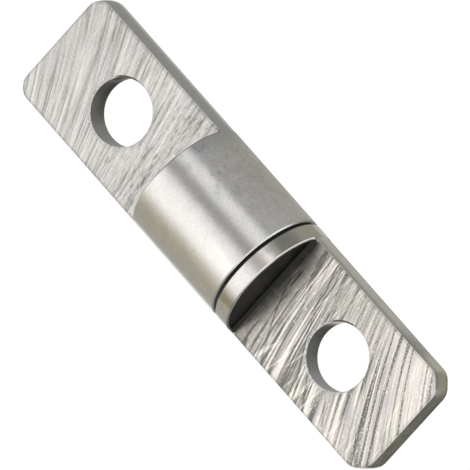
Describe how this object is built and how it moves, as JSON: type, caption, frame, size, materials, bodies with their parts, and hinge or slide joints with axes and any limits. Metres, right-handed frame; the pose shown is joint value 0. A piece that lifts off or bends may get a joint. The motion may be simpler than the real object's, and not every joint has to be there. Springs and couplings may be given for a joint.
{
  "type": "folding door hinge",
  "caption": "In-line friction hinge: two round-bar leaves with flat milled tabs and a screw hole in each, joined by a barrel and a stem that holds its angle.",
  "frame": {"origin": "on the hinge axis, at the middle of the whole length", "axes": "+X along the hinge axis from the barrel leaf to the shaft leaf; +Z square to both flat tabs, which lie parallel at rest"},
  "size_m": [0.0408, 0.01, 0.01],
  "materials": {
    "barrel_leaf_steel": "satin-polished barrel, milled tab",
    "shaft_leaf_steel": "satin-polished flange, milled tab",
    "bush_bronze": "sintered bronze",
    "washer_plastic": "black, matt",
    "washer_steel": "blanked steel",
    "clip_steel": "hardened spring steel",
    "ring_steel": "black phosphated spring steel"
  },
  "bodies": {
    "barrel": {"barrel_leaf": "barrel_leaf_steel", "mouth_bush": "bush_bronze", "thrust_washer": "washer_plastic", "stack_washer": "washer_steel", "friction_clip_01": "clip_steel", "friction_clip_02": "clip_steel", "friction_clip_03": "clip_steel", "friction_clip_04": "clip_steel", "friction_clip_05": "clip_steel", "friction_clip_06": "clip_steel", "friction_clip_07": "clip_steel", "friction_clip_08": "clip_steel", "friction_clip_09": "clip_steel", "friction_clip_10": "clip_steel", "friction_clip_11": "clip_steel", "friction_clip_12": "clip_steel", "friction_clip_13": "clip_steel", "friction_clip_14": "clip_steel"},
    "shaft": {"shaft_leaf": "shaft_leaf_steel", "inner_washer": "washer_steel", "retaining_ring": "ring_steel"}
  },
  "joints": [
    {"name": "leaf_turn", "type": "hinge", "parent": "barrel", "child": "shaft", "pos_m": [0, 0, 0], "axis": [1, 0, 0], "continuous": true}
  ]
}
